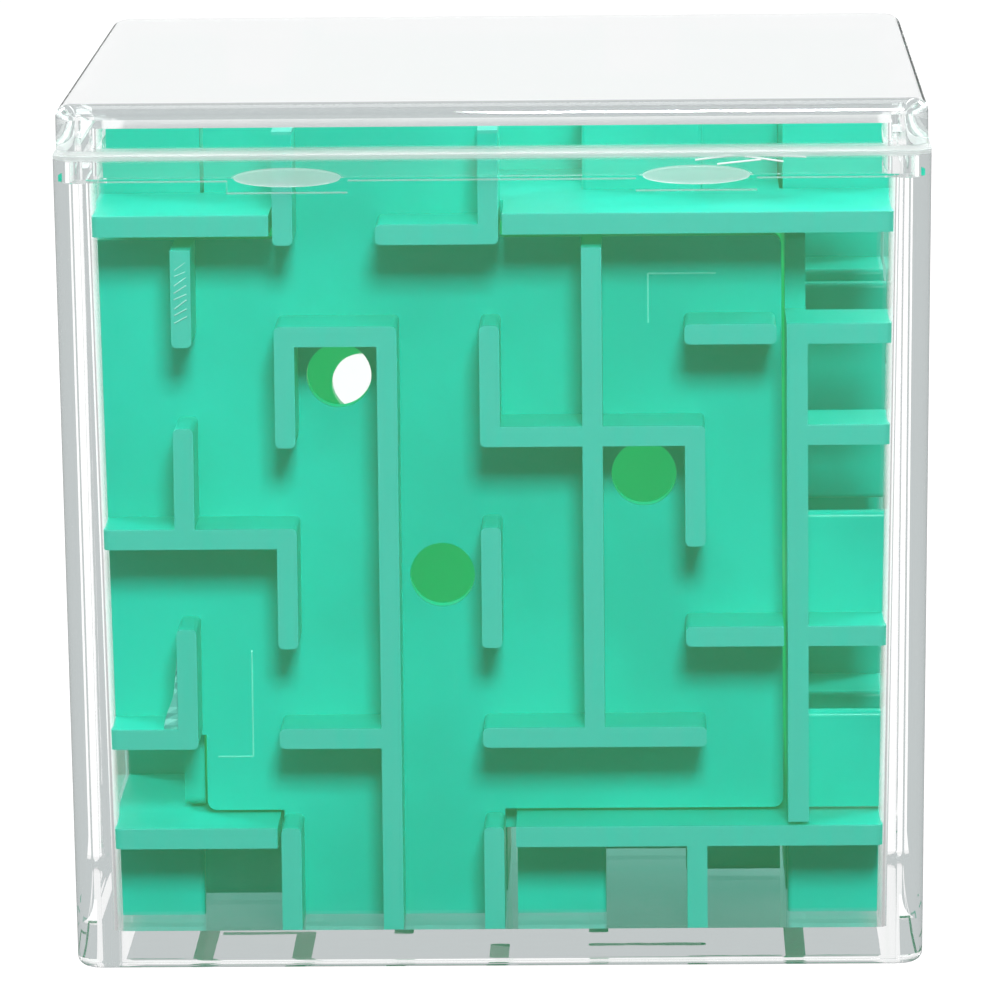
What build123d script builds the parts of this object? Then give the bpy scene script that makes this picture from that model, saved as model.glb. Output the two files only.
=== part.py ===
"""Hand-held cube maze: six interlocking maze boards and a steel ball in a clear box with a clear lid.

+Z is up and the front is towards -Y. The origin is at the centre of the box's underside. Millimetres.
"""
from build123d import *
import math
import os

# Clear box, a little wider at its rim than at its base
RIM_WIDTH = 80.0
BASE_WIDTH = 78.2
BOX_HEIGHT = 75.7
FLOOR = 3.2
INNER_RIM_WIDTH = 74.3
INNER_BASE_WIDTH = 71.6
CORNER_R = 2.5
INNER_CORNER_R = 1.0
FOOT_FILLET = 1.0

# Rabbet in the box's rim for the lid's plug
RABBET_DEPTH = 2.5
RABBET_WIDTH = 77.0

# Clear lid: flush skirt outside, plug inside
HEIGHT = 80.4
LID_WIDTH = 79.4
LID_PLATE = 2.4
LID_FILLET = 1.4
LID_SEAT_GAP = 0.05
PLUG_WIDTH = 76.4
PLUG_INNER_WIDTH = 72.9
PLUG_DROP = 6.9

# Snap beads on the plug, two on each side
BEAD_SPACING = 37.2
BEAD_LENGTH = 9.7
BEAD_HEIGHT = 1.6
BEAD_PROUD = 0.25
BEAD_ROOT = 0.8
POCKET_LENGTH = 11.0
POCKET_DEPTH = 1.1

# Maze boards on an eight by eight grid of cells on each face
PITCH = 9.375
CORE_X = -0.4
CORE_Z = 40.0
TOP_LIFT = 0.9
PLATE = 1.9
RIB = 1.85
RIB_END_R = 0.5
TAB_R = 0.9
GAP = 0.35
WALL_CLEARANCE = 0.15
BOARD_TOP_CLEARANCE = 0.4
BALL_HOLE_D = 6.0
RING = 3 * PITCH
REACH = 40.0
CORE = RING - PLATE / 2 - GAP

# Steel ball
BALL_D = 5.0
BALL_LIFT = 0.05

LID_BOTTOM = BOX_HEIGHT + LID_SEAT_GAP
CEILING = HEIGHT - LID_PLATE
PLUG_BOTTOM = HEIGHT - PLUG_DROP
SIDES = 4

# Tab ends in grid lines: beside a rib, short of a neighbour's tab, and flush with the core square
WIDE = RIB / 2 / PITCH
NARROW = (RIB / 2 + GAP) / PITCH
NEAR = 4 - CORE / PITCH
FAR = 4 + CORE / PITCH
# The front board's lower tab stands clear of the bottom board by this much more on its right
SLIT = 0.75 / PITCH

# Mid-plane of each board, seen from outside: columns run along its x, rows against its y
FRONT = Plane(origin=(CORE_X, -RING, CORE_Z), x_dir=(1, 0, 0), z_dir=(0, -1, 0))
BACK = Plane(origin=(CORE_X, RING, CORE_Z), x_dir=(-1, 0, 0), z_dir=(0, 1, 0))
RIGHT = Plane(origin=(CORE_X + RING, 0, CORE_Z), x_dir=(0, 1, 0), z_dir=(1, 0, 0))
LEFT = Plane(origin=(CORE_X - RING, 0, CORE_Z), x_dir=(0, -1, 0), z_dir=(-1, 0, 0))
TOP = Plane(origin=(CORE_X, 0, CORE_Z + RING + TOP_LIFT), x_dir=(1, 0, 0), z_dir=(0, 0, 1))
BOTTOM = Plane(origin=(CORE_X, 0, CORE_Z - RING), x_dir=(1, 0, 0), z_dir=(0, 0, -1))

# Tabs: (edge, first line, last line). Ribs: (direction, line, first line, last line).
# Holes: (column, row), counted from 1. Lines 0 and 8 are the box's walls.
FRONT_TABS = [("top", 2 - WIDE, 4 + WIDE), ("bottom", 2 - WIDE, 4 + WIDE), ("left", NEAR, 6 + WIDE)]
FRONT_RIBS = [
    ("V", 1, 1, 2), ("V", 1, 3, 4), ("V", 1, 5, 6),
    ("V", 2, 0, 1), ("V", 2, 2, 3), ("V", 2, 4, 5), ("V", 2, 7, 8),
    ("V", 3, 2, 8), ("V", 4, 0, 1), ("V", 4, 2, 3), ("V", 4, 4, 5), ("V", 4, 7, 8),
    ("V", 5, 1, 6), ("V", 6, 3, 4),
    ("H", 1, 3, 4), ("H", 2, 2, 3), ("H", 2, 6, 6.7), ("H", 3, 4, 6), ("H", 4, 0, 2),
    ("H", 5, 6, 6.8), ("H", 6, 0, 1), ("H", 6, 2, 3), ("H", 6, 4, 6),
]
FRONT_HOLES = [(3, 3), (4, 5), (6, 4)]

BACK_TABS = [("top", 3 - WIDE, 6 + WIDE), ("bottom", 2 - WIDE, 3 + WIDE), ("left", 3 - WIDE, 6 + WIDE),
             ("right", 3 - WIDE, 5 + WIDE)]
BACK_RIBS = [
    ("V", 3, 0, 2), ("V", 6, 0, 1), ("V", 2, 2, 4), ("V", 4, 1, 3), ("V", 5, 2, 4), ("V", 5, 5, 8),
    ("V", 3, 4, 6), ("V", 6, 3, 5), ("V", 7, 6, 8), ("H", 2, 0, 1), ("H", 2, 2, 3), ("H", 2, 5, 7),
    ("H", 5, 0, 2), ("H", 4, 3, 4), ("H", 4, 6, 8), ("H", 5, 4, 6), ("H", 6, 2, 4), ("H", 6, 5, 6),
]
BACK_HOLES = [(6, 4), (3, 2), (3, 6)]

RIGHT_TABS = [("left", 2 - WIDE, FAR), ("top", 2 - WIDE, 5 + WIDE), ("bottom", 3 - WIDE, 6 + WIDE),
              ("right", NEAR, 3 - NARROW)]
RIGHT_RIBS = [
    ("H", 2, 0, 1), ("H", 3, 0, 1), ("H", 5, 0, 1), ("V", 1, 4, 5), ("V", 1, 6, 7), ("V", 3, 2, 4),
    ("V", 3, 5, 6), ("V", 2, 0, 1), ("V", 5, 0, 2), ("V", 4, 3, 5), ("V", 5, 4, 6), ("V", 6, 1, 3),
    ("V", 3, 7, 8), ("V", 6, 7, 8), ("H", 2, 4, 5), ("H", 4, 5, 6), ("H", 6, 2, 4), ("H", 3, 6, 8),
    ("H", 5, 3, 4), ("H", 6, 5, 7),
]
RIGHT_HOLES = [(3, 3), (6, 5), (3, 7)]

LEFT_TABS = [("top", 3 - WIDE, 6 + WIDE), ("bottom", 2 - WIDE, 5 + WIDE), ("left", 5 + NARROW, FAR),
             ("left", NEAR, 3 - NARROW)]
LEFT_RIBS = [
    ("V", 3, 0, 2), ("V", 6, 0, 1), ("V", 2, 7, 8), ("V", 5, 6, 8), ("V", 2, 1, 3), ("V", 4, 2, 4),
    ("V", 6, 2, 5), ("V", 3, 4, 6), ("V", 5, 3, 5), ("H", 3, 2, 3), ("H", 2, 4, 5), ("H", 4, 5, 6),
    ("H", 5, 1, 3), ("H", 6, 3, 5), ("H", 6, 0, 2), ("H", 2, 6, 7), ("V", 7, 6, 7),
]
LEFT_HOLES = [(4, 4), (2, 5), (6, 6)]

TOP_TABS = [("bottom", 0, 2 - NARROW), ("bottom", 4 + NARROW, 8), ("top", 0, 2 - NARROW),
            ("top", 5 + NARROW, 8), ("left", 0, 3 - NARROW), ("right", 0, 3 - NARROW),
            ("left", 6 + NARROW, 8), ("right", 6 + NARROW, 8)]
TOP_RIBS = [
    ("H", 6, 5, 6), ("V", 7, 4, 6), ("V", 2, 2, 5), ("V", 4, 1, 3),
    ("V", 5, 3, 5), ("V", 3, 5, 7), ("V", 6, 2, 4), ("H", 2, 2, 3), ("H", 4, 3, 5), ("H", 5, 5, 7),
    ("H", 6, 1, 3), ("H", 1, 0, 1), ("H", 3, 6, 7), ("H", 1, 6, 8), ("V", 6, 0, 1),
]
TOP_HOLES = [(4, 4), (6, 3), (3, 6)]

BOTTOM_TABS = [("top", 0, 2 - NARROW), ("top", 4 + NARROW + SLIT, 8), ("bottom", 0, 5 - NARROW),
               ("bottom", 6 + NARROW, 8), ("left", 0, 3 - NARROW), ("right", 0, 3 - NARROW),
               ("left", 6 + NARROW, 8), ("right", 6 + NARROW, 8)]
BOTTOM_RIBS = [
    ("V", 6, 0, 1), ("H", 1, 0, 1), ("H", 1, 4, 5), ("H", 1, 7, 8), ("H", 3, 6, 7), ("H", 4, 5, 6),
    ("H", 2, 1, 2), ("V", 2, 7, 8), ("V", 4, 7, 8), ("V", 2, 3, 5), ("V", 4, 2, 4), ("V", 5, 5, 7),
    ("V", 3, 5, 6), ("H", 5, 1, 2), ("H", 6, 2, 3), ("H", 6, 5, 6), ("V", 7, 2, 4), ("V", 1, 2, 3),
]
BOTTOM_HOLES = [(3, 2), (5, 5), (6, 6)]


def line(number):
    """Distance from a board's centre of a grid line. Lines 0 and 8 run past the box's walls."""
    if number in (0, 8):
        return math.copysign(REACH, number - 4)
    return (number - 4) * PITCH


def plate_outline(plane, tabs, holes):
    """Plate of one board: the core square, its tabs through the neighbours, and its ball holes."""
    with BuildSketch(plane.offset(-PLATE / 2)) as outline:
        RectangleRounded(2 * CORE, 2 * CORE, TAB_R)
        for edge, first, last in tabs:
            width = line(last) - line(first)
            middle = (line(last) + line(first)) / 2
            length = REACH - CORE + 2 * TAB_R
            centre = REACH - length / 2
            spots = {
                "top": ((middle, centre), width, length),
                "bottom": ((middle, -centre), width, length),
                "left": ((-centre, -middle), length, width),
                "right": ((centre, -middle), length, width),
            }
            spot, across, up = spots[edge]
            with Locations(spot):
                Rectangle(across, up)
        for column, row in holes:
            with Locations((line(column) - PITCH / 2, PITCH / 2 - line(row))):
                Circle(BALL_HOLE_D / 2, mode=Mode.SUBTRACT)
    return outline.sketch


def rib_outline(plane, ribs, plate):
    """Ribs of one board, standing on the outside of its plate and no wider than it."""
    with BuildSketch(plane) as outline:
        for direction, at, first, last in ribs:
            length = line(last) - line(first) + RIB
            middle = (line(last) + line(first)) / 2
            if direction == "V":
                with Locations((line(at), -middle)):
                    RectangleRounded(RIB, length, RIB_END_R)
            else:
                with Locations((middle, -line(at))):
                    RectangleRounded(length, RIB, RIB_END_R)
    return outline.sketch & plate.moved(Location(plane.z_dir * (PLATE / 2)))


def rounded_square(height, width, radius):
    """Rounded square across the box at one height."""
    with BuildSketch(Plane.XY.offset(height)) as outline:
        RectangleRounded(width, width, radius)
    return outline.sketch


# Room for the boards: it follows the box's taper up to the lid's plug, and the plug above that
board_top = CEILING - BOARD_TOP_CLEARANCE
plug_base = PLUG_BOTTOM - WALL_CLEARANCE
inner_slope = (INNER_RIM_WIDTH - INNER_BASE_WIDTH) / (BOX_HEIGHT - FLOOR)
width_at_plug = INNER_BASE_WIDTH + inner_slope * (plug_base - FLOOR)
with BuildPart() as board_room:
    loft([
        rounded_square(FLOOR, INNER_BASE_WIDTH - 2 * WALL_CLEARANCE, INNER_CORNER_R),
        rounded_square(plug_base, width_at_plug - 2 * WALL_CLEARANCE, INNER_CORNER_R),
    ])
    extrude(rounded_square(plug_base, PLUG_INNER_WIDTH - 2 * WALL_CLEARANCE, INNER_CORNER_R),
            amount=board_top - plug_base)

with BuildPart() as clear_box:
    loft([
        rounded_square(0, BASE_WIDTH, CORNER_R),
        rounded_square(BOX_HEIGHT, RIM_WIDTH, CORNER_R),
    ])
    fillet(clear_box.faces().sort_by(Axis.Z)[0].edges(), FOOT_FILLET)
    loft([
        rounded_square(FLOOR, INNER_BASE_WIDTH, INNER_CORNER_R),
        rounded_square(BOX_HEIGHT, INNER_RIM_WIDTH, INNER_CORNER_R),
    ], mode=Mode.SUBTRACT)
    extrude(rounded_square(BOX_HEIGHT, RABBET_WIDTH, INNER_CORNER_R), amount=-RABBET_DEPTH,
            mode=Mode.SUBTRACT)
    pocket_top = BOX_HEIGHT - RABBET_DEPTH
    for side in range(SIDES):
        for place in (-BEAD_SPACING / 2, BEAD_SPACING / 2):
            depth = RABBET_WIDTH / 2 - INNER_BASE_WIDTH / 2
            at = Location((0, 0, 0), (0, 0, side * 360 / SIDES))
            with Locations(at * Location((place, RABBET_WIDTH / 2 - depth / 2, pocket_top))):
                Box(POCKET_LENGTH, depth, 2 * POCKET_DEPTH, mode=Mode.SUBTRACT)
clear_box.part.label = "clear_box"

with BuildPart() as clear_lid:
    extrude(rounded_square(LID_BOTTOM, LID_WIDTH, CORNER_R), amount=HEIGHT - LID_BOTTOM)
    fillet(clear_lid.faces().sort_by(Axis.Z)[-1].edges(), LID_FILLET)
    extrude(rounded_square(PLUG_BOTTOM, PLUG_WIDTH, INNER_CORNER_R), amount=CEILING - PLUG_BOTTOM)
    bead_depth = BEAD_ROOT + BEAD_PROUD
    for side in range(SIDES):
        at = Location((0, 0, 0), (0, 0, side * 360 / SIDES))
        face = Plane(at * Location((0, PLUG_WIDTH / 2 + BEAD_PROUD, PLUG_BOTTOM), (-90, 0, 0)))
        with BuildSketch(face) as beads:
            with GridLocations(BEAD_SPACING, 1, 2, 1):
                Ellipse(BEAD_LENGTH / 2, BEAD_HEIGHT / 2)
        extrude(amount=-bead_depth)
    extrude(rounded_square(PLUG_BOTTOM, PLUG_INNER_WIDTH, INNER_CORNER_R),
            amount=CEILING - PLUG_BOTTOM, mode=Mode.SUBTRACT)
clear_lid.part.label = "clear_lid"

with BuildPart() as maze_board_front:
    plate = plate_outline(FRONT, FRONT_TABS, FRONT_HOLES)
    extrude(plate, amount=PLATE)
    extrude(rib_outline(FRONT, FRONT_RIBS, plate), amount=REACH - RING)
    add(board_room.part, mode=Mode.INTERSECT)
maze_board_front.part.label = "maze_board_front"

with BuildPart() as maze_board_back:
    plate = plate_outline(BACK, BACK_TABS, BACK_HOLES)
    extrude(plate, amount=PLATE)
    extrude(rib_outline(BACK, BACK_RIBS, plate), amount=REACH - RING)
    add(board_room.part, mode=Mode.INTERSECT)
maze_board_back.part.label = "maze_board_back"

with BuildPart() as maze_board_left:
    plate = plate_outline(LEFT, LEFT_TABS, LEFT_HOLES)
    extrude(plate, amount=PLATE)
    extrude(rib_outline(LEFT, LEFT_RIBS, plate), amount=REACH - RING)
    add(board_room.part, mode=Mode.INTERSECT)
maze_board_left.part.label = "maze_board_left"

with BuildPart() as maze_board_right:
    plate = plate_outline(RIGHT, RIGHT_TABS, RIGHT_HOLES)
    extrude(plate, amount=PLATE)
    extrude(rib_outline(RIGHT, RIGHT_RIBS, plate), amount=REACH - RING)
    add(board_room.part, mode=Mode.INTERSECT)
maze_board_right.part.label = "maze_board_right"

with BuildPart() as maze_board_top:
    plate = plate_outline(TOP, TOP_TABS, TOP_HOLES)
    extrude(plate, amount=PLATE)
    extrude(rib_outline(TOP, TOP_RIBS, plate), amount=REACH - RING)
    add(board_room.part, mode=Mode.INTERSECT)
maze_board_top.part.label = "maze_board_top"

with BuildPart() as maze_board_bottom:
    plate = plate_outline(BOTTOM, BOTTOM_TABS, BOTTOM_HOLES)
    extrude(plate, amount=PLATE)
    extrude(rib_outline(BOTTOM, BOTTOM_RIBS, plate), amount=REACH - RING)
    add(board_room.part, mode=Mode.INTERSECT)
maze_board_bottom.part.label = "maze_board_bottom"

# The ball lies on the box's floor in the channel along the bottom back edge
ball_x = CORE_X + line(3)
ball_y = RING + PLATE / 2 + (INNER_BASE_WIDTH / 2 - RING - PLATE / 2) / 2
with BuildPart() as steel_ball:
    with Locations((ball_x, ball_y, FLOOR + BALL_D / 2 + BALL_LIFT)):
        Sphere(BALL_D / 2)
steel_ball.part.label = "steel_ball"

os.makedirs("parts", exist_ok=True)
export_step(clear_box.part, "parts/clear_box.step")
export_step(clear_lid.part, "parts/clear_lid.step")
export_step(maze_board_front.part, "parts/maze_board_front.step")
export_step(maze_board_back.part, "parts/maze_board_back.step")
export_step(maze_board_left.part, "parts/maze_board_left.step")
export_step(maze_board_right.part, "parts/maze_board_right.step")
export_step(maze_board_top.part, "parts/maze_board_top.step")
export_step(maze_board_bottom.part, "parts/maze_board_bottom.step")
export_step(steel_ball.part, "parts/steel_ball.step")
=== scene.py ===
"""Looks for the clear cube ball maze: clear box and lid, green maze boards and a steel ball."""
import math

import bpy
from mathutils import Matrix, Vector


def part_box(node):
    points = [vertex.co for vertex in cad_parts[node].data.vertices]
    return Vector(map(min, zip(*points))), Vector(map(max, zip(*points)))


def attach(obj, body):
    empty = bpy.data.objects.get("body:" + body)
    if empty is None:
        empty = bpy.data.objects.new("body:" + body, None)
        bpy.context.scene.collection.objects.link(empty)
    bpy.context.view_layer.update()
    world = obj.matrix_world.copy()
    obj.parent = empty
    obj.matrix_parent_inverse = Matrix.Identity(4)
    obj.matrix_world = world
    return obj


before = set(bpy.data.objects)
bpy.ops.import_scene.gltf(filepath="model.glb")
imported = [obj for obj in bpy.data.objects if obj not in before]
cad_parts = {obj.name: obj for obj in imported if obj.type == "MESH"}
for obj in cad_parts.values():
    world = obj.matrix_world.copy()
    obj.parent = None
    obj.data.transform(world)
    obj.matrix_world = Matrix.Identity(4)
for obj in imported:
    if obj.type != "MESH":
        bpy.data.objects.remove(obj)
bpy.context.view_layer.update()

MM = 0.001
BOARDS = ["front", "back", "left", "right", "top", "bottom"]

# The object's main sizes, read from the frame
BOX_HIGH = Vector(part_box("clear_box")[1])
LID_LOW, LID_HIGH = (Vector(corner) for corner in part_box("clear_lid"))
FRONT_LOW, FRONT_HIGH = (Vector(corner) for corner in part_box("maze_board_front"))
TOP_HIGH = Vector(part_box("maze_board_top")[1])

# Sizes shared with the CAD model
CORE_X = -0.4 * MM
CORE_Z = 40.0 * MM
PITCH = 9.375 * MM
RIB = 1.85 * MM
HALF_BASE = 35.8 * MM
PLATE_FACE_Y = -(3 * PITCH + 0.95 * MM)
BEAD_X = 18.6 * MM
LID_SEAM_Z = 75.75 * MM
LID_FRONT_Y = -(38.2 + 0.02) * MM

# Moulded edges, and how far the floor lies below the box
BOARD_EDGE = 0.12 * MM
CLEAR_EDGE = 0.15 * MM
FLOOR_GAP = 0.2 * MM

# Reflections inside a clear wall after which its light counts as an even glow
GUIDED_REFLECTIONS = 2.5
GUIDED_GREY = (0.56, 0.60, 0.60, 1.0)

# Brightness of the floor and of the background, as the eye sees them
PALE = 0.97
FLOOR_SHADE = ((0.075, 0.075, 0.075, 1.0), (0.085, 0.085, 0.085, 1.0))
# Painted shadow under the cube: the floor's glow there is dimmer and green, standing in for the cube's
# shade and its green bounce light
PAINTED_SHADE_UNDER_CUBE = (0.33, 1.0, 0.85, 1.0)
WHITE = (1.0, 1.0, 1.0, 1.0)

# Green plastic: base tones mixed at random, and the ribs' outer edges, paler where rubbed and where a
# painted sheen stands in for the light on them
DEEP_GREEN = (0.0, 0.335, 0.255, 1.0)
LIGHT_GREEN = (0.0, 0.385, 0.295, 1.0)
RUBBED_SHEEN_GREEN = (0.035, 0.330, 0.275, 1.0)
# Colour of the painted green glow on the boards, standing in for light through them and green bounce
# light
PAINTED_GLOW_GREEN = (0.0, 0.62, 0.16, 1.0)

# Softboxes: name, place in metres, size in metres, power in watts
SOFTBOXES = [
    ("key", (0.08, -0.75, 0.50), 0.20, 10.5),
    ("fill_left", (-0.8, -0.3, 0.5), 0.5, 2.0),
    ("back_left", (-0.65, 0.5, 0.5), 0.3, 9.5),
    ("back_right", (0.65, 0.5, 0.5), 0.3, 9.5),
    ("top", (0.0, 0.1, 0.9), 0.5, 1.5),
]

# Camera: place in millimetres, turn in degrees, lens in millimetres
CAMERA_PLACE = (14.0, -726.1, 157.0)
CAMERA_TURN = (-1.127, 9.357, -0.564)
CAMERA_LENS = 274.2


class Nodes:
    """Short calls for building one material's node tree."""

    def __init__(self, tree):
        self.tree = tree
        self.tree.nodes.clear()

    def add(self, kind, **values):
        """A node with its properties and its inputs set. An input may be a number or another socket."""
        node = self.tree.nodes.new(kind)
        for name, value in values.items():
            if hasattr(node, name):
                setattr(node, name, value)
            else:
                self.put(node.inputs[name.replace("_", " ")], value)
        return node

    def put(self, socket, value):
        if isinstance(value, bpy.types.NodeSocket):
            self.tree.links.new(value, socket)
        else:
            socket.default_value = value

    def math(self, operation, *values, clamp=False):
        """The output of one Math node."""
        node = self.tree.nodes.new("ShaderNodeMath")
        node.operation = operation
        node.use_clamp = clamp
        for socket, value in zip(node.inputs, values):
            self.put(socket, value)
        return node.outputs[0]

    def ramp(self, value, low, high, start=0.0, end=1.0):
        """Smooth change from start to end as value goes from low to high."""
        node = self.add("ShaderNodeMapRange", interpolation_type="SMOOTHSTEP", Value=value)
        self.limits(node, low, high, start, end)
        return node.outputs[0]

    @staticmethod
    def limits(node, low, high, start, end):
        """Set a Map Range node's four ends."""
        for name, number in (("From Min", low), ("From Max", high), ("To Min", start), ("To Max", end)):
            node.inputs[name].default_value = number

    def mix(self, factor, first, second):
        """Mixed colour."""
        node = self.tree.nodes.new("ShaderNodeMix")
        node.data_type = "RGBA"
        self.put(node.inputs[0], factor)
        self.put(node.inputs[6], first)
        self.put(node.inputs[7], second)
        return node.outputs[2]

    def noise(self, vector, scale, detail=3.0, stretch=None):
        """Noise value on a coordinate, stretched along an axis if asked."""
        if stretch is not None:
            mapping = self.add("ShaderNodeMapping", Vector=vector)
            mapping.inputs["Scale"].default_value = stretch
            vector = mapping.outputs[0]
        node = self.add("ShaderNodeTexNoise", Vector=vector, Scale=scale, Detail=detail)
        return node.outputs[0]

    def place(self):
        """Object coordinates and their three numbers."""
        coordinates = self.add("ShaderNodeTexCoord").outputs["Object"]
        split = self.add("ShaderNodeSeparateXYZ", Vector=coordinates)
        return coordinates, split.outputs[0], split.outputs[1], split.outputs[2]

    def bump(self, height, strength, distance):
        node = self.add("ShaderNodeBump", Height=height, Strength=strength, Distance=distance)
        return node.outputs[0]

    def finish(self, shader):
        output = self.add("ShaderNodeOutputMaterial")
        self.tree.links.new(shader, output.inputs["Surface"])


def new_material(name):
    material = bpy.data.materials.new(name)
    material.use_nodes = True
    return material, Nodes(material.node_tree)


def wall_distance(nodes, x, y, z):
    """How far a point is inside the faces that the boards' ribs reach, in metres."""
    side = nodes.math("MAXIMUM", nodes.math("ABSOLUTE", x), nodes.math("ABSOLUTE", y))
    low, high = FRONT_LOW.z, FRONT_HIGH.z
    reach = nodes.add("ShaderNodeMapRange", Value=z)
    nodes.limits(reach, low, high, HALF_BASE, TOP_HIGH.x)
    beside = nodes.math("SUBTRACT", reach.outputs[0], side)
    above = nodes.math("SUBTRACT", high, z)
    below = nodes.math("SUBTRACT", z, low)
    return nodes.math("MINIMUM", beside, nodes.math("MINIMUM", above, below))


def painted_glow_core(nodes, x, y, z):
    """Mask of the painted green glow: 1 on the boards' inner faces and in their ball holes, falling to 0
    towards the plates' edges.
    """
    across = nodes.math("ABSOLUTE", nodes.math("SUBTRACT", x, CORE_X))
    deep = nodes.math("ABSOLUTE", y)
    up = nodes.math("ABSOLUTE", nodes.math("SUBTRACT", z, CORE_Z))
    larger = nodes.math("MAXIMUM", across, deep)
    farthest = nodes.math("MAXIMUM", larger, up)
    middle = nodes.math("MAXIMUM", nodes.math("MINIMUM", across, deep), nodes.math("MINIMUM", larger, up))
    behind_face = nodes.ramp(farthest, 28.3 * MM, 28.9 * MM, 1.0, 0.0)
    off_edge = nodes.ramp(middle, 22.0 * MM, 26.0 * MM, 1.0, 0.0)
    return nodes.math("MULTIPLY", behind_face, off_edge)


def green_plastic():
    """Moulded green plastic: saturated in the channels, paler on the ribs' outer edges, where they are
    rubbed and where a painted sheen stands in for the light on them, with a painted green glow.
    """
    material, nodes = new_material("green_moulded_plastic")
    place, x, y, z = nodes.place()
    cloud = nodes.noise(place, 60.0, 4.0)
    fine = nodes.noise(place, 2600.0, 2.0)
    base = nodes.mix(nodes.ramp(cloud, 0.35, 0.65), DEEP_GREEN, LIGHT_GREEN)
    # Ribs' outer edges next to the clear walls: paler and rougher, partly rubbed and partly a painted
    # highlight for the light that falls on the tips
    edge = nodes.ramp(wall_distance(nodes, x, y, z), 0.0002, 0.0004, 1.0, 0.0)
    streak = nodes.noise(place, 900.0, 2.0, (1.0, 1.0, 0.12))
    edge = nodes.math("MULTIPLY", edge, nodes.ramp(streak, 0.2, 0.55, 0.72, 1.0))
    colour = nodes.mix(edge, base, RUBBED_SHEEN_GREEN)
    satin = nodes.ramp(cloud, 0.3, 0.7, 0.30, 0.40)
    rough = nodes.math("ADD", satin, nodes.math("MULTIPLY", edge, 0.15))
    shader = nodes.add("ShaderNodeBsdfPrincipled", Base_Color=colour, Roughness=rough)
    shader.inputs["IOR"].default_value = 1.49
    shader.inputs["Specular IOR Level"].default_value = 0.15
    # Light that has come through the translucent boards
    # Painted glow: an even green glow all over, stronger on the inner faces and in the ball holes,
    # standing in for light through the translucent boards and green bounce light
    glow = nodes.math("ADD", nodes.math("MULTIPLY", painted_glow_core(nodes, x, y, z), 0.30), 0.18)
    shader.inputs["Emission Color"].default_value = PAINTED_GLOW_GREEN
    nodes.put(shader.inputs["Emission Strength"], glow)
    shader.inputs["Subsurface Weight"].default_value = 0.12
    shader.inputs["Subsurface Radius"].default_value = (0.2, 1.0, 0.7)
    shader.inputs["Subsurface Scale"].default_value = 0.0012
    nodes.put(shader.inputs["Normal"], nodes.bump(fine, 0.06, 0.00005))
    nodes.finish(shader.outputs[0])
    return material


def clear_plastic(name, frost):
    """Clear polystyrene with fine scratches. frost gives the frosted share of the surface at a place."""
    material, nodes = new_material(name)
    place, x, y, z = nodes.place()
    scuffs = nodes.noise(place, 700.0, 5.0, (1.0, 1.0, 0.08))
    haze = nodes.noise(place, 90.0, 3.0)
    rough = nodes.ramp(scuffs, 0.62, 0.80, 0.015, 0.10)
    frosted = frost(nodes, x, y, z)
    rough = nodes.math("MAXIMUM", rough, nodes.math("MULTIPLY", frosted, 0.45))
    shader = nodes.add("ShaderNodeBsdfPrincipled", Roughness=rough)
    shader.inputs["Base Color"].default_value = (0.985, 0.992, 0.992, 1.0)
    shader.inputs["IOR"].default_value = 1.57
    shader.inputs["Transmission Weight"].default_value = 1.0
    nodes.put(shader.inputs["Normal"], nodes.bump(haze, 0.05, 0.0002))
    white = nodes.add("ShaderNodeBsdfDiffuse")
    white.inputs["Color"].default_value = (0.36, 0.39, 0.38, 1.0)
    coated = nodes.add("ShaderNodeMixShader", Fac=nodes.math("MULTIPLY", frosted, 0.42))
    nodes.put(coated.inputs[1], shader.outputs[0])
    nodes.put(coated.inputs[2], white.outputs[0])
    through = nodes.add("ShaderNodeBsdfTransparent")
    through.inputs["Color"].default_value = (0.95, 0.965, 0.965, 1.0)
    path = nodes.add("ShaderNodeLightPath")
    lamp = nodes.math("MAXIMUM", path.outputs["Is Shadow Ray"], path.outputs["Is Diffuse Ray"])
    split = nodes.add("ShaderNodeMixShader", Fac=lamp)
    nodes.put(split.inputs[1], coated.outputs[0])
    nodes.put(split.inputs[2], through.outputs[0])
    # Light that has run along inside a wall for several reflections comes out as an even pale grey
    guided = nodes.add("ShaderNodeEmission")
    guided.inputs["Color"].default_value = GUIDED_GREY
    lost = nodes.math("GREATER_THAN", path.outputs["Glossy Depth"], GUIDED_REFLECTIONS)
    ended = nodes.add("ShaderNodeMixShader", Fac=lost)
    nodes.put(ended.inputs[1], split.outputs[0])
    nodes.put(ended.inputs[2], guided.outputs[0])
    # The lid's flat top is a mirror at a low angle
    facing = nodes.add("ShaderNodeLayerWeight", Blend=0.5).outputs["Facing"]
    on_top = nodes.ramp(z, LID_HIGH.z - 0.4 * MM, LID_HIGH.z - 0.1 * MM)
    low_angle = nodes.math("MULTIPLY", nodes.ramp(facing, 0.60, 0.82, 0.0, 0.93), on_top)
    gloss = nodes.add("ShaderNodeBsdfGlossy", Roughness=0.12)
    gloss.inputs["Color"].default_value = (0.96, 0.97, 0.97, 1.0)
    top = nodes.add("ShaderNodeMixShader", Fac=low_angle)
    nodes.put(top.inputs[1], ended.outputs[0])
    nodes.put(top.inputs[2], gloss.outputs[0])
    nodes.finish(top.outputs[0])
    return material


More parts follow.
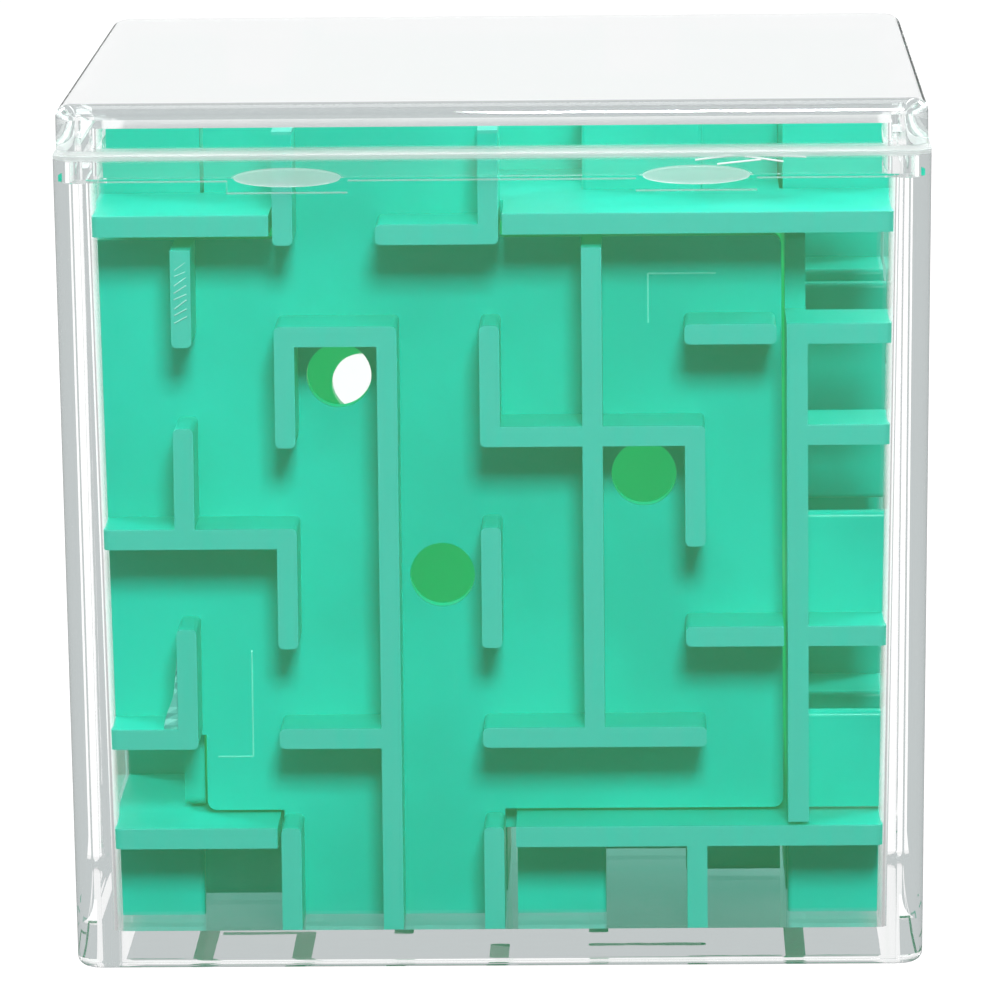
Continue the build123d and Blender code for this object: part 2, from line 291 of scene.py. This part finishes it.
def bead_frost(nodes, x, y, z):
    """Frosted ovals on the lid's plug, two on each side, and frosted scuffs along its skirt's edge."""
    along = nodes.math("MINIMUM", nodes.math("ABSOLUTE", x), nodes.math("ABSOLUTE", y))
    outward = nodes.math("MAXIMUM", nodes.math("ABSOLUTE", x), nodes.math("ABSOLUTE", y))
    u = nodes.math("DIVIDE", nodes.math("SUBTRACT", along, BEAD_X), 5.0 * MM)
    v = nodes.math("DIVIDE", nodes.math("SUBTRACT", z, LID_LOW.z + 0.8 * MM), 0.95 * MM)
    oval = nodes.math("ADD", nodes.math("MULTIPLY", u, u), nodes.math("MULTIPLY", v, v))
    inside = nodes.ramp(oval, 0.85, 1.15, 1.0, 0.0)
    bead = nodes.math("MULTIPLY", inside, nodes.ramp(outward, 37.3 * MM, 37.6 * MM))
    from_seam = nodes.math("ABSOLUTE", nodes.math("SUBTRACT", z, LID_SEAM_Z))
    foot = nodes.ramp(from_seam, 0.25 * MM, 0.6 * MM, 1.0, 0.0)
    return nodes.math("MAXIMUM", bead, foot)


def rim_frost(nodes, x, y, z):
    """Frosted top of the box's rim."""
    return nodes.ramp(z, BOX_HIGH.z - 0.7 * MM, BOX_HIGH.z - 0.2 * MM, 0.0, 0.9)


def steel():
    """Polished bearing steel with faint roll marks."""
    material, nodes = new_material("ball_steel")
    place, _, _, _ = nodes.place()
    marks = nodes.noise(place, 1500.0, 4.0, (1.0, 0.2, 1.0))
    shader = nodes.add("ShaderNodeBsdfPrincipled", Roughness=nodes.ramp(marks, 0.4, 0.7, 0.06, 0.22))
    shader.inputs["Base Color"].default_value = (0.68, 0.69, 0.70, 1.0)
    shader.inputs["Metallic"].default_value = 1.0
    nodes.finish(shader.outputs[0])
    return material


def seen_ray(nodes, behind):
    """1 for what the eye sees directly, and 0 for light on other things and for mirrored rays.

    A ray through clear plastic counts in full behind the object and by a third in front of it.
    """
    path = nodes.add("ShaderNodeLightPath")
    share = nodes.math("ADD", nodes.math("MULTIPLY", behind, 0.65), 0.35)
    passed = nodes.math("MINIMUM", path.outputs["Transmission Depth"], 1.0)
    through = nodes.math("MULTIPLY", passed, share)
    seen = nodes.math("MAXIMUM", path.outputs["Is Camera Ray"], through)
    return nodes.math("MULTIPLY", seen, nodes.math("SUBTRACT", 1.0, path.outputs["Is Diffuse Ray"]))


def floor_white():
    """Plain white studio floor that lights nothing itself, with a painted shadow and painted green bounce
    light under the cube.
    """
    material, nodes = new_material("studio_floor")
    place, x, y, _ = nodes.place()
    shade = nodes.ramp(nodes.noise(place, 3.0), 0.3, 0.7, 0.0, 1.0)
    colour = nodes.mix(shade, *FLOOR_SHADE)
    shader = nodes.add("ShaderNodeBsdfPrincipled", Base_Color=colour)
    shader.inputs["Roughness"].default_value = 0.9
    shader.inputs["Specular IOR Level"].default_value = 0.0
    outward = nodes.math("MAXIMUM", nodes.math("ABSOLUTE", x), nodes.math("ABSOLUTE", y))
    # Painted shadow: the floor glows dimmer and pale green under the cube, and white past its edges
    clear = nodes.ramp(outward, BOX_HIGH.x - 7 * MM, BOX_HIGH.x - 4 * MM)
    nodes.put(shader.inputs["Emission Color"], nodes.mix(clear, PAINTED_SHADE_UNDER_CUBE, WHITE))
    seen = seen_ray(nodes, nodes.ramp(y, -0.05, 0.05))
    nodes.put(shader.inputs["Emission Strength"], nodes.math("MULTIPLY", seen, PALE))
    nodes.finish(shader.outputs[0])
    return material


def paint(node_name, material):
    """One material over a whole CAD node."""
    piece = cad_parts[node_name]
    piece.data.materials.clear()
    piece.data.materials.append(material)
    return piece


def soften(piece, width):
    """Small rounded edges, as on a moulding."""
    bevel = piece.modifiers.new("moulded_edges", "BEVEL")
    bevel.width = width
    bevel.segments = 2
    bevel.limit_method = "ANGLE"
    bevel.angle_limit = math.radians(50)
    bevel.harden_normals = True


def strip(name, start, end, width, height, material, body, normal=(0, -1, 0)):
    """Thin raised line from start to end, standing out along normal."""
    start, end, normal = Vector(start), Vector(end), Vector(normal)
    along = (end - start).normalized()
    side = along.cross(normal) * width / 2
    top = normal * height
    taper = along * min(width, (end - start).length * 0.3)
    crest = side * 0.4
    low = [start - side, start + side, end + side, end - side]
    high = [start - crest + taper, start + crest + taper, end + crest - taper, end - crest - taper]
    mesh = bpy.data.meshes.new(name)
    faces = [(3, 2, 1, 0), (4, 5, 6, 7), (0, 1, 5, 4), (1, 2, 6, 5), (2, 3, 7, 6), (3, 0, 4, 7)]
    mesh.from_pydata([tuple(p) for p in low + [q + top for q in high]], [], faces)
    mesh.materials.append(material)
    piece = bpy.data.objects.new(name, mesh)
    bpy.context.scene.collection.objects.link(piece)
    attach(piece, body)
    return piece


def grid_point(column, row, y):
    """A point on the front board, in grid lines counted from the left and from the top."""
    return Vector((CORE_X + (column - 4) * PITCH, y, CORE_Z - (row - 4) * PITCH))


def witness_lines(material):
    """Faint angled lines that the mould's inserts left on the front board's plate."""
    face = PLATE_FACE_Y
    width, height = 0.16 * MM, 0.05 * MM
    corners = [
        (grid_point(5.55, 2.0, face), grid_point(5.55, 1.51, face), grid_point(6.22, 1.51, face)),
        (grid_point(1.60, 5.25, face), grid_point(1.60, 6.32, face), grid_point(1.25, 6.32, face)),
    ]
    for number, (first, corner, last) in enumerate(corners, 1):
        strip(f"witness_line_{number}a", first, corner, width, height, material, "box")
        strip(f"witness_line_{number}b", corner, last, width, height, material, "box")


def rib_scratches(material):
    """Short slanting scratches across the front of the first column's top rib."""
    face = FRONT_LOW.y + 0.19 * MM
    count = 9
    width, height = 0.13 * MM, 0.05 * MM
    for number in range(count):
        row = 1.22 + 0.075 * number
        lean = 0.35 * MM * (1 + 0.3 * math.sin(2.3 * number))
        left = grid_point(1.0, row, face) + Vector((-0.62 * MM, 0, -lean))
        right = grid_point(1.0, row, face) + Vector((0.55 * MM, 0, lean))
        strip(f"rib_scratch_{number + 1}", left, right, width, height, material, "box")


def mould_flash(material):
    """Thin ragged flash beside the first column's lowest rib."""
    face = FRONT_LOW.y + 1.3 * MM
    edge = grid_point(1.0, 5.2, face) + Vector((-RIB / 2 + 0.1 * MM, 0, 0))
    steps = 12
    length = 0.72 * PITCH
    thick = 0.25 * MM
    points = []
    for step in range(steps + 1):
        share = step / steps
        reach = 0.15 + 1.35 * share ** 1.6 + 0.16 * math.sin(7.1 * step) * share
        points.append(edge + Vector((0, 0, -share * length)))
        points.append(edge + Vector((-reach * MM, 0.1 * MM * math.sin(2.7 * step), -share * length)))
    back = [p + Vector((0, thick, 0)) for p in points]
    size = len(points)
    faces = []
    for step in range(steps):
        a, b, c, d = 2 * step, 2 * step + 1, 2 * step + 3, 2 * step + 2
        faces += [(a, d, c, b), (a + size, b + size, c + size, d + size), (b, c, c + size, b + size)]
        faces.append((a, a + size, d + size, d))
    faces += [(0, 1, 1 + size, size), (size - 2, 2 * size - 2, 2 * size - 1, size - 1)]
    mesh = bpy.data.meshes.new("mould_flash")
    mesh.from_pydata([tuple(p) for p in points + back], [], faces)
    mesh.materials.append(material)
    piece = bpy.data.objects.new("mould_flash", mesh)
    bpy.context.scene.collection.objects.link(piece)
    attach(piece, "box")


def lid_scratches(material):
    """White scratches on the front of the lid's plug, near its right bead."""
    width, height = 0.17 * MM, 0.04 * MM
    # Each mark runs from (x, z) to (x, z), in millimetres
    marks = [
        (18.5, 74.9, 22.0, 75.3),
        (20.5, 74.5, 24.5, 74.9),
        (23.0, 75.2, 26.5, 74.7),
        (25.0, 75.3, 28.6, 75.1),
    ]
    for number, (x0, z0, x1, z1) in enumerate(marks, 1):
        start = Vector((x0 * MM, LID_FRONT_Y, z0 * MM))
        end = Vector((x1 * MM, LID_FRONT_Y, z1 * MM))
        strip(f"lid_scratch_{number}", start, end, width, height, material, "lid")


def scuffed(name, colour, roughness):
    """Rubbed plastic for scratches, flash and mould lines."""
    material, nodes = new_material(name)
    place, _, _, _ = nodes.place()
    shade = nodes.ramp(nodes.noise(place, 1800.0), 0.3, 0.7, 0.85, 1.0)
    darker = tuple(0.8 * part for part in colour) + (1.0,)
    mottled = nodes.mix(shade, darker, tuple(colour) + (1.0,))
    shader = nodes.add("ShaderNodeBsdfPrincipled", Base_Color=mottled)
    shader.inputs["Roughness"].default_value = roughness
    nodes.finish(shader.outputs[0])
    return material


def studio():
    """White floor, soft lights and a bright background."""
    mesh = bpy.data.meshes.new("studio_floor")
    half = 6.0
    corners = [(-half, -half), (half, -half), (half, half), (-half, half)]
    mesh.from_pydata([(x, y, -FLOOR_GAP) for x, y in corners], [], [(0, 1, 2, 3)])
    floor = bpy.data.objects.new("studio_floor", mesh)
    bpy.context.scene.collection.objects.link(floor)
    mesh.materials.append(floor_white())

    world = bpy.data.worlds.new("studio")
    world.use_nodes = True
    bpy.context.scene.world = world
    nodes = Nodes(world.node_tree)
    way = nodes.add("ShaderNodeTexCoord").outputs["Generated"]
    split = nodes.add("ShaderNodeSeparateXYZ", Vector=way)
    behind = nodes.ramp(split.outputs[1], 0.30, 0.60)
    low = nodes.ramp(split.outputs[2], 0.25, 0.6, 1.0, 0.0)
    # What the lid's top mirrors is pale all round, near the horizon
    mirrored = nodes.add("ShaderNodeLightPath").outputs["Is Glossy Ray"]
    glow = nodes.math("MULTIPLY", nodes.math("MAXIMUM", behind, mirrored), low)
    front = nodes.ramp(split.outputs[1], -0.9, 0.2, 0.06, 0.40)
    sky = nodes.ramp(split.outputs[2], 0.25, 0.7, 0.0, 0.75)
    bands = nodes.ramp(nodes.noise(way, 5.0, 2.0), 0.35, 0.65, 0.50, 0.85)
    eye = nodes.math("MULTIPLY", seen_ray(nodes, behind), bands)
    strength = nodes.math("MAXIMUM", nodes.math("MAXIMUM", front, sky), eye)
    rest = nodes.math("MULTIPLY", strength, nodes.math("SUBTRACT", 1.0, glow))
    strength = nodes.math("ADD", rest, nodes.math("MULTIPLY", glow, PALE))
    background = nodes.add("ShaderNodeBackground", Strength=strength)
    background.inputs["Color"].default_value = WHITE
    output = nodes.add("ShaderNodeOutputWorld")
    world.node_tree.links.new(background.outputs[0], output.inputs["Surface"])

    for name, place, size, power in SOFTBOXES:
        softbox(name, Vector(place), size, power)


def softbox(name, place, size, power):
    """Square area light aimed at the middle of the cube."""
    light = bpy.data.lights.new(name, "AREA")
    light.size = size
    light.energy = power
    lamp = bpy.data.objects.new(name, light)
    lamp.location = place
    lamp.rotation_euler = (Vector((0, 0, CORE_Z)) - place).to_track_quat("-Z", "Y").to_euler()
    bpy.context.scene.collection.objects.link(lamp)


def camera():
    """Long lens, a little above and to the right of the front, rolled slightly."""
    yaw, pitch, roll = (math.radians(angle) for angle in CAMERA_TURN)
    flat = math.cos(pitch)
    forward = Vector((math.sin(yaw) * flat, math.cos(yaw) * flat, -math.sin(pitch)))
    level = Vector((math.cos(yaw), -math.sin(yaw), 0))
    up = level.cross(forward)
    right = level * math.cos(roll) + up * math.sin(roll)
    above = right.cross(forward)
    data = bpy.data.cameras.new("camera")
    data.lens = CAMERA_LENS
    data.clip_start = 0.05
    data.clip_end = 30
    eye = bpy.data.objects.new("camera", data)
    turn = Matrix((right, above, -forward)).transposed().to_4x4()
    eye.matrix_world = Matrix.Translation(Vector(CAMERA_PLACE) * MM) @ turn
    bpy.context.scene.collection.objects.link(eye)
    bpy.context.scene.camera = eye


bpy.context.scene.view_settings.view_transform = "Standard"

green = green_plastic()
for board in BOARDS:
    soften(paint(f"maze_board_{board}", green), BOARD_EDGE)
paint("clear_box", clear_plastic("clear_box_plastic", rim_frost))
paint("clear_lid", clear_plastic("clear_lid_plastic", bead_frost))
for name in ("clear_box", "clear_lid"):
    soften(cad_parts[name], CLEAR_EDGE)
paint("steel_ball", steel())
witness_lines(scuffed("mould_line_green", (0.10, 0.62, 0.46), 0.4))
rib_scratches(scuffed("scratched_green", (0.20, 0.52, 0.43), 0.6))
mould_flash(scuffed("flash_green", (0.06, 0.36, 0.28), 0.55))
lid_scratches(scuffed("scratch_white", (0.66, 0.72, 0.70), 0.6))

studio()
camera()
